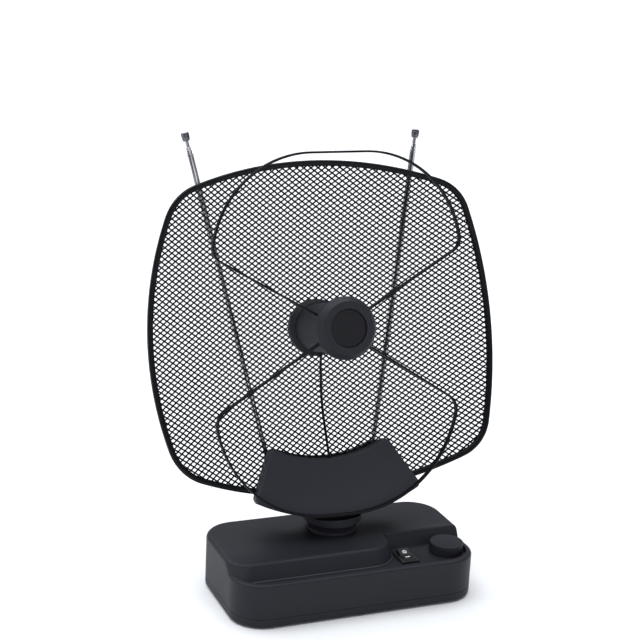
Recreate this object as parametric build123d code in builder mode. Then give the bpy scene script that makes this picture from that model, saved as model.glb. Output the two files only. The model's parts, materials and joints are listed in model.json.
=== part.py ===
from build123d import *
import os
from math import asin, cos, degrees, radians, sin, sqrt

# Indoor FM antenna: a low base with a control tray carries a swivelling holder.
# The holder clamps a dished mesh reflector, with a dipole of two strip loops on a
# hub in front of it and two telescopic rods behind it.
# Millimetres, +Z up, origin on the floor at the plan centre of the base,
# front of the antenna towards -Y.

# General walls and clearances
wall = 2.4
sit_gap = 0.3
run_gap = 0.07
screw_gap = 0.1

# Base box
base_w = 210.0
base_d = 110.0
base_corner_r = 27.0
base_bottom_r = 2.0
foot_proud = 1.0
seam_h = 7.0
seam_chamfer = 0.3
lip_h = 36.0
lip_w = 4.5
lip_round = 2.6
tray_h = 32.0
deck_h = 44.5
deck_round = 4.0

# Deck plan: the top edge, and how far the foot of each wall stands out from it
deck_front_y = -31.0
deck_front_run = 8.3
deck_back_y = -4.0
deck_back_run = 7.0
deck_step_x = 37.0
deck_step_run = 2.0
deck_left_r = 20.0
deck_left_foot_r = 12.0
deck_nose_r = 21.5
deck_nose_foot_r = 24.5
deck_inner_r = 3.0

# Base inside
post_r = 4.2
post_inset_x = 13.0
post_inset_y = 13.0
pad_h = 2.0
pad_r = 5.5
base_screw_r = 1.4
base_screw_head_r = 2.9
base_screw_head_h = 1.8
base_screw_len = 12.0
foot_r = 6.0
foot_t = 2.0
foot_inset_x = 36.0
foot_inset_y = 13.0
ballast_size = (90.0, 56.0, 3.0)
ballast_at = (-38.0, 8.0)
board_size = (62.0, 44.0, 1.6)
board_at = (40.0, -12.0)
board_z = 13.0
board_screw_inset = 4.0
board_screw_r = 1.2
board_screw_head_r = 2.2
board_screw_head_h = 1.4
standoff_r = 2.8

# Rocker switch
rocker_at = (47.2, -29.2)
bezel_w = 16.0
bezel_l = 22.0
bezel_t = 1.8
switch_body_w = 13.0
switch_body_l = 19.2
switch_body_h = 13.0
rocker_w = 9.6
rocker_l = 16.6
rocker_end_h = 2.4
rocker_mid_h = 1.8
rocker_drop = 1.2
rocker_belly = 4.0
rocker_tilt = 13.0
rocker_pin_r = 1.0
rocker_pin_len = 0.9

# Gain knob, its shaft and potentiometer
knob_at = (85.6, -25.9)
knob_r = 14.3
knob_top_r = 13.9
knob_h = 8.2
knob_lift = 0.5
knob_round = 0.9
knob_wall = 1.8
shaft_r = 3.0
pot_r = 8.2
pot_h = 7.0
bushing_r = 3.6
bushing_nut_r = 5.4
bushing_nut_h = 2.0

# Sockets in the rear wall
jack_z = 20.0
jack_x = -30.0
jack_r = 4.75
jack_len = 11.8
jack_groove_r = 4.2
jack_groove_w = 0.8
jack_chamfer = 0.5
jack_face_r = 3.3
jack_face_drop = 0.4
jack_hole_r = 0.6
jack_hole_depth = 6.0
jack_hex = 13.0
jack_hex_t = 3.0
nut_hex = 12.0
nut_t = 2.5
power_x = -58.0
power_r = 5.4
power_len = 12.0
power_flange_r = 6.8
power_flange_t = 1.6
power_bore_r = 3.1
power_bore_depth = 9.0
power_pin_r = 1.0

# Swivel
swivel_y = 19.0
neck_r = 18.6
neck_bore_r = 9.0
collar_r = 20.4
collar_h = 2.0
seat_r = 21.6
seat_h = 0.5
spigot_r = 14.0
retainer_r = 19.0
retainer_t = 2.0
retainer_screw_r = 1.2
retainer_screw_at = 11.5
retainer_screw_head_r = 2.2
retainer_screw_head_h = 1.4
retainer_screw_len = 8.0
neck_h = 2.0
neck_flare_r = 24.5
neck_flare_h = 5.0
neck_top_h = 19.0

# Dish: a spherical cap cut to a rounded square, leaning back on the swivel
dish_tilt = 15.6
dish_r = 400.0
screen_t = 1.2
rim_half_w = 152.6
rim_half_h = 138.6
rim_side_r = 300.0
rim_side_v = -10.0
rim_top_r = 325.0
rim_corner_r = 42.0
rim_w = 4.8
rim_round = 1.7

# Mesh: diamond gaps left between crossing strands
cell_w = 44.0
cell_h = 31.0
strand_w = 2.6
mesh_border = 2.5
gap_area_min = 60.0
hub_plate_r = 28.0

# Clamp: annular sectors about the dish axis
cover_in_r = 108.6
cover_out_r = 155.3
cover_half = 28.6
cover_lift = 9.0
cover_corner_r = 4.5
cover_round = 2.0
cover_under_gap = 2.7
mesh_gap = 0.3
holder_in_r = 107.0
holder_out_r = 152.0
holder_half = 24.5
holder_back = 6.0
holder_clear = 12.1
holder_ahead = 19.4
holder_corner_r = 3.0
cover_screw_u = 24.0
cover_screw_v = -119.0
cover_screw_r = 1.4
cover_screw_head_r = 2.8
cover_screw_head_h = 1.8
cover_boss_r = 4.2
match_board_size = (30.0, 16.0, 1.6)
match_board_v = -131.0
match_board_lift = 4.0

# Hub on the dish axis
hub_back = 1.6
hub_flange_r = 24.0
hub_flange_t = 6.5
hub_flange_bevel = 3.0
drum_r = 20.5
drum_front = 66.0
drum_wall = 2.4
cap_r = 25.6
cap_back_bevel = 2.5
cap_side = 4.0
cap_bevel_r = 21.6
cap_front = 78.0
cap_recess_r = 15.6
cap_recess = 2.6
cap_plug_len = 1.2
disc_r = 15.3
disc_t = 1.4
backplate_r = 15.0
backplate_t = 2.4
hub_screw_r = 2.0
hub_screw_head_r = 4.0
hub_screw_head_h = 2.4
hub_screw_len = 16.0
hub_boss_r = 5.0
hub_boss_h = 12.0

# Loop strips, set on edge in a plane that leans a little from the dish plane
loop_n = 60.5
loop_lean = 6.5
strip_w = 4.6
strip_t = 1.7
strip_round = 0.6
leg_inset = 5.0
lower_turn = 1.0

# Each loop: half its straight crown, height and radius of the shoulders, radius of
# the corners and slope of the legs
upper_shape = (23.6, 57.2, 84.0, 11.5, 30.0)
lower_shape = (11.0, 58.5, 95.5, 15.0, 32.0)

# Feed lead from the hub to the clamp, in the middle plane: distance from the
# dish axis and height in front of the dish
lead_r = 1.1
lead_points = [(15.5, 17.0), (30.0, 11.5), (64.0, 9.0), (105.0, 18.7), (117.0, 22.1)]
lead_bends = [30.0, 90.0, 40.0]

# Telescopic rods behind the screen
rod_n = -1.5
rod_u = 43.6
rod_v = -128.0
rod_leans = (11.4, 12.0)
rod_reach = 299.7
eye_r = 5.5
eye_t = 7.0
eye_neck_r = 3.4
eye_neck_len = 15.0
tube_start = 8.0
tube_outer_r = 2.65
tube_wall = 0.32
tube_steps = (18.5, 15.3, 12.7)
tube_inset = 9.0
tip_len = 7.2
tip_r = 3.4
tip_foot_r = 2.2
pivot_r = 2.0
pivot_head_r = 4.4
pivot_head_h = 2.2
pivot_boss_r = 6.0
pivot_len = 16.0

# Levels of the base
under_z = foot_proud
floor_z = under_z + wall
seam_z = under_z + seam_h
tray_z = under_z + tray_h
lip_z = under_z + lip_h
deck_z = under_z + deck_h

# Frames: the dish frame has x to the right, y up the dish and z to its front. It
# stands so high and so far back that the holder clears the deck above the swivel.
tilt_cos = cos(radians(dish_tilt))
tilt_sin = sin(radians(dish_tilt))
dish_y = swivel_y + holder_out_r * tilt_sin + holder_ahead * tilt_cos
dish_z = deck_z + holder_clear + holder_out_r * tilt_cos - holder_back * tilt_sin
dish = Plane(origin=(0, dish_y, dish_z), x_dir=(1, 0, 0), z_dir=(0, -tilt_cos, tilt_sin))
dish_axis = Axis(dish.origin, dish.z_dir)
swivel_axis = Axis((0, swivel_y, 0), (0, 0, 1))


def section_at(angle):
    """Plane through the dish axis: x is the distance from it, y the height in front."""
    radial = dish.x_dir * cos(radians(angle)) + dish.y_dir * sin(radians(angle))
    return Plane(origin=dish.origin, x_dir=radial, z_dir=radial.cross(dish.z_dir))


def dish_height(distance, lift=0.0):
    """Height of the dish surface, lifted to the front, at a distance from the axis."""
    return dish_r - sqrt((dish_r - lift) ** 2 - distance**2)


def dish_band(low, high, inner, outer):
    """Section of the layer between two lifts of the dish surface, as a closed line."""
    start_low = degrees(asin(inner / (dish_r - low)))
    start_high = degrees(asin(inner / (dish_r - high)))
    end_low = degrees(asin(outer / (dish_r - low)))
    end_high = degrees(asin(outer / (dish_r - high)))
    below = CenterArc((0, dish_r), dish_r - low, start_low - 90, end_low - start_low)
    above = CenterArc((0, dish_r), dish_r - high, start_high - 90, end_high - start_high)
    Line(below @ 0, above @ 0)
    Line(below @ 1, above @ 1)


def shell_section(lift, inner, outer, back):
    """Section from a flat back up to a lift of the dish surface, as a closed line."""
    start = degrees(asin(inner / (dish_r - lift)))
    end = degrees(asin(outer / (dish_r - lift)))
    edge = CenterArc((0, dish_r), dish_r - lift, start - 90, end - start)
    Polyline(edge @ 1, (outer, back), (inner, back), edge @ 0)


def sector(low, high, inner, outer, half):
    """Turn a layer of the dish about its axis, half an angle each side of straight down."""
    with BuildPart() as fan:
        with BuildSketch(section_at(-90 - half)):
            with BuildLine():
                dish_band(low, high, inner, outer)
            make_face()
        revolve(axis=dish_axis, revolution_arc=2 * half)
    return fan.part


def rim_outline(inset):
    """Rounded square with bowed sides, drawn inside the rim's outer edge by an inset."""
    side = rim_side_r - inset
    top = rim_top_r - inset
    with Locations((rim_half_w - rim_side_r, rim_side_v)):
        Circle(side)
    with Locations((rim_side_r - rim_half_w, rim_side_v)):
        Circle(side, mode=Mode.INTERSECT)
    with Locations((0, rim_half_h - rim_top_r)):
        Circle(top, mode=Mode.INTERSECT)
    with Locations((0, rim_top_r - rim_half_h)):
        Circle(top, mode=Mode.INTERSECT)


def rim_ring(clear):
    """Edge of the screen as a ring on the dish surface, grown by a clearance."""
    with BuildPart() as ring:
        with BuildSketch(dish.offset(-rim_w)):
            with BuildSketch(mode=Mode.PRIVATE) as inner:
                rim_outline(rim_w + clear)
                fillet(inner.vertices(), rim_corner_r - rim_w - clear)
            with BuildSketch() as outer:
                rim_outline(-clear)
                fillet(outer.vertices(), rim_corner_r + clear)
            add(inner.sketch, mode=Mode.SUBTRACT)
        extrude(amount=rim_half_w)
        with BuildSketch(section_at(0)):
            with BuildLine():
                dish_band(-rim_w / 2 - clear, rim_w / 2 + clear, rim_half_h / 2, rim_half_w * 1.25)
            make_face()
        revolve(axis=dish_axis, mode=Mode.INTERSECT)
    return ring.part


os.makedirs("parts", exist_ok=True)


def save(part, label):
    """Name a finished piece and write it to its own file."""
    part.label = label
    export_step(part, f"parts/{label}.step")


def corners(inset_x, inset_y):
    """The four places set in from the corners of the base."""
    return GridLocations(base_w - 2 * inset_x, base_d - 2 * inset_y, 2, 2)


def board_corners():
    """The four screw places of the amplifier board, about its centre."""
    return GridLocations(board_size[0] - 2 * board_screw_inset, board_size[1] - 2 * board_screw_inset, 2, 2)


def base_plan(inset=0.0):
    """Rounded plan of the base, set in by an inset."""
    RectangleRounded(base_w - 2 * inset, base_d - 2 * inset, base_corner_r - inset)


def deck_plan(run, inset=0.0):
    """Plan of the raised deck: run 0 is its top edge and run 1 the foot of its walls."""
    left = -base_w / 2
    right = base_w / 2
    back = base_d / 2
    front = deck_front_y - run * deck_front_run
    step_y = deck_back_y - run * deck_back_run
    step_x = deck_step_x + run * deck_step_run
    left_r = deck_left_r + run * (deck_left_foot_r - deck_left_r)
    nose_r = deck_nose_r + run * (deck_nose_foot_r - deck_nose_r)
    with BuildSketch() as plan:
        with BuildLine():
            l1 = Line((left, back - base_corner_r), (left, front + left_r))
            l2 = RadiusArc(l1 @ 1, (left + left_r, front), -left_r)
            l3 = Line(l2 @ 1, (step_x - nose_r, front))
            l4 = RadiusArc(l3 @ 1, (step_x, front + nose_r), -nose_r)
            l5 = Line(l4 @ 1, (step_x, step_y - deck_inner_r))
            l6 = RadiusArc(l5 @ 1, (step_x + deck_inner_r, step_y), deck_inner_r)
            l7 = Line(l6 @ 1, (right, step_y))
            l8 = Line(l7 @ 1, (right, back - base_corner_r))
            l9 = RadiusArc(l8 @ 1, (right - base_corner_r, back), -base_corner_r)
            l10 = Line(l9 @ 1, (left + base_corner_r, back))
            RadiusArc(l10 @ 1, l1 @ 0, -base_corner_r)
        make_face()
        if inset:
            offset(amount=-inset, mode=Mode.REPLACE)
    return plan.sketch


# Deck block with drafted front walls and rounded top edges
with BuildPart() as deck_block:
    with BuildSketch(Plane.XY.offset(tray_z)):
        add(deck_plan(1))
    with BuildSketch(Plane.XY.offset(deck_z)):
        add(deck_plan(0))
    loft(ruled=True)
    fillet(deck_block.faces().sort_by(Axis.Z)[-1].edges(), deck_round)

# Base housing: lower box with a recessed tray, deck on top, hollow from below
with BuildPart() as base_housing:
    with BuildSketch(Plane.XY.offset(seam_z)):
        base_plan()
    extrude(amount=lip_z - seam_z)
    fillet(base_housing.faces().sort_by(Axis.Z)[-1].edges(), lip_round)
    chamfer(base_housing.faces().sort_by(Axis.Z)[0].edges(), seam_chamfer)
    with BuildSketch(Plane.XY.offset(tray_z)):
        base_plan(lip_w)
        with Locations((0, base_d / 2)):
            Rectangle(base_w, base_d, mode=Mode.SUBTRACT)
    extrude(amount=lip_h, mode=Mode.SUBTRACT)
    add(deck_block.part)
    with BuildSketch(Plane.XY.offset(seam_z)):
        base_plan(wall)
    extrude(amount=tray_z - wall - seam_z, mode=Mode.SUBTRACT)
    with BuildSketch(Plane.XY.offset(tray_z - 2 * wall)):
        add(deck_plan(0, wall + deck_round / 3))
    extrude(amount=deck_z - wall - (tray_z - 2 * wall), mode=Mode.SUBTRACT)
    with BuildSketch(Plane.XY.offset(floor_z + pad_h + sit_gap / 3)):
        with corners(post_inset_x, post_inset_y):
            Circle(post_r)
    extrude(amount=tray_z - wall / 2 - floor_z - pad_h)
    with BuildSketch(Plane.XY.offset(tray_z - wall)):
        with Locations((post_inset_x - base_w / 2, base_d / 2 - post_inset_y)):
            Circle(post_r)
        with Locations((base_w / 2 - post_inset_x, base_d / 2 - post_inset_y)):
            Circle(post_r)
    extrude(amount=deck_z - wall / 2 - tray_z + wall)
    with BuildSketch(Plane.XY.offset(floor_z)):
        with corners(post_inset_x, post_inset_y):
            Circle(base_screw_r + screw_gap)
    extrude(amount=base_screw_len, mode=Mode.SUBTRACT)
    with BuildSketch(Plane.XY.offset(deck_z - wall / 2)):
        with Locations((0, swivel_y)):
            Circle(seat_r)
    extrude(amount=seat_h + wall / 2)
    with BuildSketch(Plane.XY.offset(deck_z - 2 * wall)):
        with Locations((0, swivel_y)):
            Circle(spigot_r + run_gap)
    extrude(amount=3 * wall + seat_h, mode=Mode.SUBTRACT)
    with BuildSketch(Plane.XY.offset(tray_z - 2 * wall)):
        with Locations(rocker_at):
            Rectangle(switch_body_w + 2 * screw_gap, switch_body_l + 2 * screw_gap)
        with Locations(knob_at):
            Circle(bushing_r + screw_gap)
    extrude(amount=3 * wall, mode=Mode.SUBTRACT)
    with BuildSketch(Plane.XZ.offset(-base_d / 2 - wall)):
        with Locations((jack_x, jack_z)):
            Circle(jack_r + screw_gap)
        with Locations((power_x, jack_z)):
            Circle(power_r + screw_gap)
    extrude(amount=3 * wall, mode=Mode.SUBTRACT)
save(base_housing.part, "base_housing")

# Bottom cover: a shallow tray up to the seam, with screw pads and board standoffs
with BuildPart() as bottom_cover:
    with BuildSketch(Plane.XY.offset(under_z)):
        base_plan()
    extrude(amount=seam_h)
    fillet(bottom_cover.faces().sort_by(Axis.Z)[0].edges(), base_bottom_r)
    chamfer(bottom_cover.faces().sort_by(Axis.Z)[-1].edges(), seam_chamfer)
    with BuildSketch(Plane.XY.offset(floor_z)):
        base_plan(wall)
    extrude(amount=seam_h, mode=Mode.SUBTRACT)
    with BuildSketch(Plane.XY.offset(floor_z)):
        with corners(post_inset_x, post_inset_y):
            Circle(pad_r)
    extrude(amount=pad_h)
    with BuildSketch(Plane.XY.offset(floor_z)):
        with Locations(board_at):
            with board_corners():
                Circle(standoff_r)
    extrude(amount=board_z - floor_z)
    with BuildSketch(Plane.XY.offset(board_z)):
        with Locations(board_at):
            with board_corners():
                Circle(board_screw_r + screw_gap)
    extrude(amount=floor_z - board_z, mode=Mode.SUBTRACT)
    with BuildSketch(Plane.XY.offset(under_z)):
        with corners(foot_inset_x, foot_inset_y):
            Circle(foot_r + screw_gap)
        with corners(post_inset_x, post_inset_y):
            Circle(base_screw_head_r + screw_gap)
    extrude(amount=foot_t - foot_proud, mode=Mode.SUBTRACT)
    with BuildSketch(Plane.XY.offset(under_z)):
        with corners(post_inset_x, post_inset_y):
            Circle(base_screw_head_r + screw_gap)
    extrude(amount=base_screw_head_h + screw_gap, mode=Mode.SUBTRACT)
    with BuildSketch(Plane.XY.offset(under_z)):
        with corners(post_inset_x, post_inset_y):
            Circle(base_screw_r + screw_gap)
    extrude(amount=2 * seam_h, mode=Mode.SUBTRACT)
save(bottom_cover.part, "bottom_cover")

# Rubber feet in shallow seats under the bottom cover
with BuildPart() as rubber_feet:
    with BuildSketch():
        with corners(foot_inset_x, foot_inset_y):
            Circle(foot_r)
    extrude(amount=foot_t)
    chamfer(rubber_feet.faces().group_by(Axis.Z)[0].edges(), foot_proud / 2)
save(rubber_feet.part, "rubber_feet")

# Screws that hold the bottom cover to the housing
with BuildPart() as base_screws:
    with BuildSketch(Plane.XY.offset(under_z + screw_gap)):
        with corners(post_inset_x, post_inset_y):
            Circle(base_screw_head_r)
    extrude(amount=base_screw_head_h)
    with BuildSketch(Plane.XY.offset(under_z + screw_gap)):
        with corners(post_inset_x, post_inset_y):
            Circle(base_screw_r)
    extrude(amount=base_screw_len)
save(base_screws.part, "base_screws")

# Steel ballast plate on the floor of the bottom cover
with BuildPart() as ballast_plate:
    with BuildSketch(Plane.XY.offset(floor_z)):
        with Locations(ballast_at):
            RectangleRounded(ballast_size[0], ballast_size[1], ballast_size[2])
    extrude(amount=ballast_size[2])
save(ballast_plate.part, "ballast_plate")

# Amplifier board with a shield can and two capacitors
with BuildPart() as amplifier_board:
    with BuildSketch(Plane.XY.offset(board_z)):
        with Locations(board_at):
            Rectangle(board_size[0], board_size[1])
            with board_corners():
                Circle(board_screw_r + screw_gap, mode=Mode.SUBTRACT)
    extrude(amount=board_size[2])
    with BuildSketch(Plane.XY.offset(board_z + board_size[2])):
        with Locations((board_at[0] - board_size[0] / 5, board_at[1] + board_size[1] / 5)):
            Rectangle(board_size[0] / 3, board_size[1] / 3)
    extrude(amount=2 * wall)
    with BuildSketch(Plane.XY.offset(board_z + board_size[2])):
        with Locations((board_at[0] + board_size[0] / 4, board_at[1] + board_size[1] / 4)):
            with GridLocations(4 * wall, 0, 2, 1):
                Circle(1.2 * wall)
    extrude(amount=3 * wall)
save(amplifier_board.part, "amplifier_board")

# Screws that hold the amplifier board on its standoffs
with BuildPart() as board_screws:
    board_top = board_z + board_size[2]
    for radius, height in ((board_screw_head_r, board_screw_head_h), (board_screw_r, floor_z - board_z)):
        with BuildSketch(Plane.XY.offset(board_top)):
            with Locations(board_at):
                with board_corners():
                    Circle(radius)
        extrude(amount=height)
save(board_screws.part, "board_screws")

# Rocker switch: bezel on the tray, body below it, open for the button
bezel_z = tray_z + bezel_t
rocker_axis_z = bezel_z - rocker_drop / 2
with BuildPart() as rocker_housing:
    with BuildSketch(Plane.XY.offset(tray_z)):
        with Locations(rocker_at):
            RectangleRounded(bezel_w, bezel_l, bezel_t / 2)
    extrude(amount=bezel_t)
    chamfer(rocker_housing.faces().sort_by(Axis.Z)[-1].edges(), bezel_t / 4)
    with BuildSketch(Plane.XY.offset(tray_z)):
        with Locations(rocker_at):
            Rectangle(switch_body_w, switch_body_l)
    extrude(amount=-switch_body_h)
    with BuildSketch(Plane.XY.offset(bezel_z)):
        with Locations(rocker_at):
            Rectangle(rocker_w + 2 * sit_gap, rocker_l + 6 * sit_gap)
    extrude(amount=-bezel_t - rocker_belly - 2 * wall, mode=Mode.SUBTRACT)
    with BuildSketch(Plane.YZ.offset(rocker_at[0] - rocker_w / 2 - rocker_pin_len - sit_gap)):
        with Locations((rocker_at[1], rocker_axis_z)):
            Circle(rocker_pin_r + run_gap)
    extrude(amount=rocker_w + 2 * rocker_pin_len + 2 * sit_gap, mode=Mode.SUBTRACT)
save(rocker_housing.part, "rocker_housing")

# Rocker button, resting with its front half pressed
rocker_plane = Plane(
    origin=(rocker_at[0], rocker_at[1], rocker_axis_z),
    x_dir=(0, cos(radians(rocker_tilt)), sin(radians(rocker_tilt))),
    z_dir=(1, 0, 0),
)
with BuildPart() as rocker_button:
    with BuildSketch(rocker_plane.offset(-rocker_w / 2)):
        with BuildLine():
            half = rocker_l / 2
            top = Polyline(
                (-half, -rocker_drop),
                (-half, rocker_end_h),
                (0, rocker_mid_h),
                (half, rocker_end_h),
                (half, -rocker_drop),
            )
            ThreePointArc(top @ 1, (0, -rocker_belly), top @ 0)
        make_face()
    extrude(amount=rocker_w)
    with BuildSketch(rocker_plane.offset(-rocker_w / 2 - rocker_pin_len)):
        Circle(rocker_pin_r)
    extrude(amount=rocker_w + 2 * rocker_pin_len)
save(rocker_button.part, "rocker_button")

# Potentiometer under the tray, with its threaded bushing and nut
with BuildPart() as gain_pot:
    with BuildSketch(Plane.XY.offset(tray_z - wall)):
        with Locations(knob_at):
            Circle(pot_r)
    extrude(amount=-pot_h)
    with BuildSketch(Plane.XY.offset(tray_z - wall)):
        with Locations(knob_at):
            Circle(bushing_r)
    extrude(amount=wall + bushing_nut_h + knob_lift)
    with BuildSketch(Plane.XY.offset(tray_z)):
        with Locations(knob_at):
            RegularPolygon(bushing_nut_r, 6)
    extrude(amount=bushing_nut_h)
    with BuildSketch(Plane.XY.offset(tray_z - wall - pot_h / 2)):
        with Locations(knob_at):
            Circle(shaft_r + run_gap)
    extrude(amount=knob_h + pot_h, mode=Mode.SUBTRACT)
save(gain_pot.part, "gain_pot")

# Shaft from the potentiometer into the knob
shaft_top = tray_z + knob_lift + knob_h - 2 * knob_wall
with BuildPart() as gain_shaft:
    with BuildSketch(Plane.XY.offset(tray_z - wall - pot_h / 2 + run_gap)):
        with Locations(knob_at):
            Circle(shaft_r)
    extrude(amount=shaft_top - (tray_z - wall - pot_h / 2 + run_gap))
save(gain_shaft.part, "gain_shaft")

# Gain knob: a tapered cap with a socket for the shaft
with BuildPart() as gain_knob:
    knob_foot = (knob_at[0], knob_at[1], tray_z + knob_lift)
    with BuildSketch(Plane(origin=knob_foot, x_dir=(1, 0, 0), z_dir=(0, -1, 0))):
        with BuildLine():
            skin = Polyline((0, knob_h), (knob_top_r, knob_h), (knob_r, 0), (knob_r - knob_wall, 0))
            well = Polyline(
                skin @ 1,
                (knob_top_r - knob_wall, knob_h - knob_wall),
                (shaft_r + knob_wall, knob_h - knob_wall),
                (shaft_r + knob_wall, bushing_nut_h + 2 * knob_lift),
                (shaft_r + screw_gap / 5, bushing_nut_h + 2 * knob_lift),
                (shaft_r + screw_gap / 5, knob_h - 2 * knob_wall),
                (0, knob_h - 2 * knob_wall),
            )
            Line(well @ 1, skin @ 0)
        make_face()
    revolve(axis=Axis((knob_at[0], knob_at[1], 0), (0, 0, 1)))
    fillet(gain_knob.faces().sort_by(Axis.Z)[-1].edges(), knob_round)
save(gain_knob.part, "gain_knob")

# Coaxial output socket through the rear wall, held by a nut
rear_wall = Plane(origin=(0, base_d / 2, jack_z), x_dir=(-1, 0, 0), z_dir=(0, 1, 0))
with BuildPart() as output_jack:
    with BuildSketch(rear_wall.offset(-wall)):
        with Locations((-jack_x, 0)):
            Circle(jack_r)
    extrude(amount=wall + jack_len)
    chamfer(output_jack.faces().sort_by(Axis.Y)[-1].edges(), jack_chamfer)
    with BuildSketch(rear_wall.offset(-wall)):
        with Locations((-jack_x, 0)):
            RegularPolygon(jack_hex / 2, 6, major_radius=False)
    extrude(amount=-jack_hex_t)
    with BuildSketch(rear_wall.offset(nut_t)):
        with Locations((-jack_x, 0)):
            Circle(2 * jack_r)
            Circle(jack_groove_r, mode=Mode.SUBTRACT)
    extrude(amount=jack_groove_w, mode=Mode.SUBTRACT)
    for radius, depth in ((jack_face_r, jack_face_drop), (jack_hole_r, jack_hole_depth)):
        with BuildSketch(rear_wall.offset(jack_len - depth)):
            with Locations((-jack_x, 0)):
                Circle(radius)
        extrude(amount=depth, mode=Mode.SUBTRACT)
save(output_jack.part, "output_jack")

with BuildPart() as jack_nut:
    with BuildSketch(rear_wall):
        with Locations((-jack_x, 0)):
            RegularPolygon(nut_hex / 2, 6, major_radius=False)
            Circle(jack_r + screw_gap / 5, mode=Mode.SUBTRACT)
    extrude(amount=nut_t)
save(jack_nut.part, "jack_nut")

# Round power socket with a centre pin
with BuildPart() as power_jack:
    with BuildSketch(rear_wall):
        with Locations((-power_x, 0)):
            Circle(power_flange_r)
    extrude(amount=power_flange_t)
    chamfer(power_jack.faces().sort_by(Axis.Y)[-1].edges(), power_flange_t / 4)
    with BuildSketch(rear_wall):
        with Locations((-power_x, 0)):
            Circle(power_r)
    extrude(amount=-power_len)
    with BuildSketch(rear_wall.offset(power_flange_t - power_bore_depth)):
        with Locations((-power_x, 0)):
            Circle(power_bore_r)
            Circle(power_pin_r, mode=Mode.SUBTRACT)
    extrude(amount=power_bore_depth, mode=Mode.SUBTRACT)
save(power_jack.part, "power_jack")

# Holder: rear shell of the clamp, its neck, swivel spigot and rod bosses
collar_z = deck_z + seat_h + sit_gap
collar_top = collar_z + collar_h
spigot_z = deck_z - wall - sit_gap
neck_top = collar_z + neck_top_h
end_angle = degrees(wall / holder_in_r)
under_mesh = -screen_t / 2 - mesh_gap
boss_far = sqrt(cover_screw_u**2 + cover_screw_v**2)
rim_channel = rim_ring(sit_gap)
rod_places = [(-rod_u, rod_v), (rod_u, rod_v)]
screw_places = [(-cover_screw_u, cover_screw_v), (cover_screw_u, cover_screw_v)]
with BuildPart() as holder:
    with BuildSketch(section_at(-90 - holder_half)):
        with BuildLine():
            shell_section(under_mesh, holder_in_r, holder_out_r, holder_back)
        make_face()
    revolve(axis=dish_axis, revolution_arc=2 * holder_half)
    fillet(holder.edges().filter_by(dish_axis), holder_corner_r)
    fillet(holder.faces().sort_by(dish_axis)[0].edges(), holder_corner_r / 2)
    with BuildSketch(Plane(origin=(0, swivel_y, 0), x_dir=(1, 0, 0), z_dir=(0, -1, 0))):
        with BuildLine():
            Polyline(
                (0, spigot_z),
                (spigot_r, spigot_z),
                (spigot_r, collar_z),
                (collar_r, collar_z),
                (collar_r, collar_top),
                (neck_r, collar_top),
                (neck_r, collar_top + neck_h),
                (neck_flare_r, collar_top + neck_h + neck_flare_h),
                (neck_flare_r, neck_top),
                (0, neck_top),
                (0, spigot_z),
            )
        make_face()
    revolve(axis=swivel_axis)
    add(
        sector(under_mesh, 2 * neck_flare_r, cover_in_r, cover_out_r + cover_under_gap, cover_half),
        mode=Mode.SUBTRACT,
    )
    with BuildSketch(section_at(-90 - cover_half)):
        with BuildLine():
            Polyline(
                (holder_in_r, holder_back),
                (holder_out_r - holder_corner_r, holder_back),
                (holder_out_r - holder_corner_r, -neck_flare_r),
                (holder_in_r, -neck_flare_r),
                close=True,
            )
        make_face()
    revolve(axis=dish_axis, revolution_arc=2 * cover_half, mode=Mode.SUBTRACT)
    with BuildSketch(section_at(-90 - holder_half + end_angle)):
        with BuildLine():
            shell_section(0, holder_in_r + wall, holder_out_r - wall, holder_back + wall)
        make_face()
    revolve(axis=dish_axis, revolution_arc=2 * (holder_half - end_angle), mode=Mode.SUBTRACT)
    with BuildSketch(dish.offset(holder_back)):
        with Locations(*screw_places):
            Circle(cover_boss_r)
    extrude(amount=dish_height(boss_far, -2 * mesh_gap) - holder_back - screen_t)
    with BuildSketch(dish.offset(holder_back + wall)):
        with Locations(*rod_places):
            Circle(pivot_boss_r)
    extrude(amount=rod_n + eye_t / 2 + sit_gap - holder_back - wall)
    with BuildSketch(dish.offset(rod_n)):
        with Locations(*rod_places):
            Circle(pivot_r + screw_gap)
    extrude(amount=pivot_len, mode=Mode.SUBTRACT)
    with BuildSketch(dish.offset(holder_back - wall)):
        with Locations(*screw_places):
            Circle(cover_screw_r + screw_gap)
    extrude(amount=8 * wall, mode=Mode.SUBTRACT)
    with BuildSketch(dish.offset(holder_back - wall)):
        with Locations(*screw_places):
            Circle(cover_screw_head_r + screw_gap)
    extrude(amount=wall + cover_screw_head_h, mode=Mode.SUBTRACT)
    with BuildSketch(dish.offset(holder_back + wall / 2)):
        with Locations((0, match_board_v)):
            with GridLocations(match_board_size[0] - 2 * standoff_r, 0, 2, 1):
                Circle(standoff_r)
    extrude(amount=match_board_lift + wall / 2)
    with BuildSketch(Plane.XY.offset(spigot_z)):
        with Locations((0, swivel_y)):
            Circle(neck_bore_r)
    extrude(amount=neck_top - wall - spigot_z, mode=Mode.SUBTRACT)
    with BuildSketch(Plane.XY.offset(spigot_z)):
        with Locations((0, swivel_y)):
            with PolarLocations(retainer_screw_at, 3):
                Circle(retainer_screw_r + screw_gap)
    extrude(amount=retainer_screw_len, mode=Mode.SUBTRACT)
    add(rim_channel, mode=Mode.SUBTRACT)
save(holder.part, "holder")

# Retainer plate that keeps the spigot in the deck
with BuildPart() as swivel_retainer:
    with BuildSketch(Plane.XY.offset(spigot_z)):
        with Locations((0, swivel_y)):
            Circle(retainer_r)
            Circle(neck_bore_r, mode=Mode.SUBTRACT)
            with PolarLocations(retainer_screw_at, 3):
                Circle(retainer_screw_r + screw_gap, mode=Mode.SUBTRACT)
    extrude(amount=-retainer_t)
save(swivel_retainer.part, "swivel_retainer")

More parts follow.
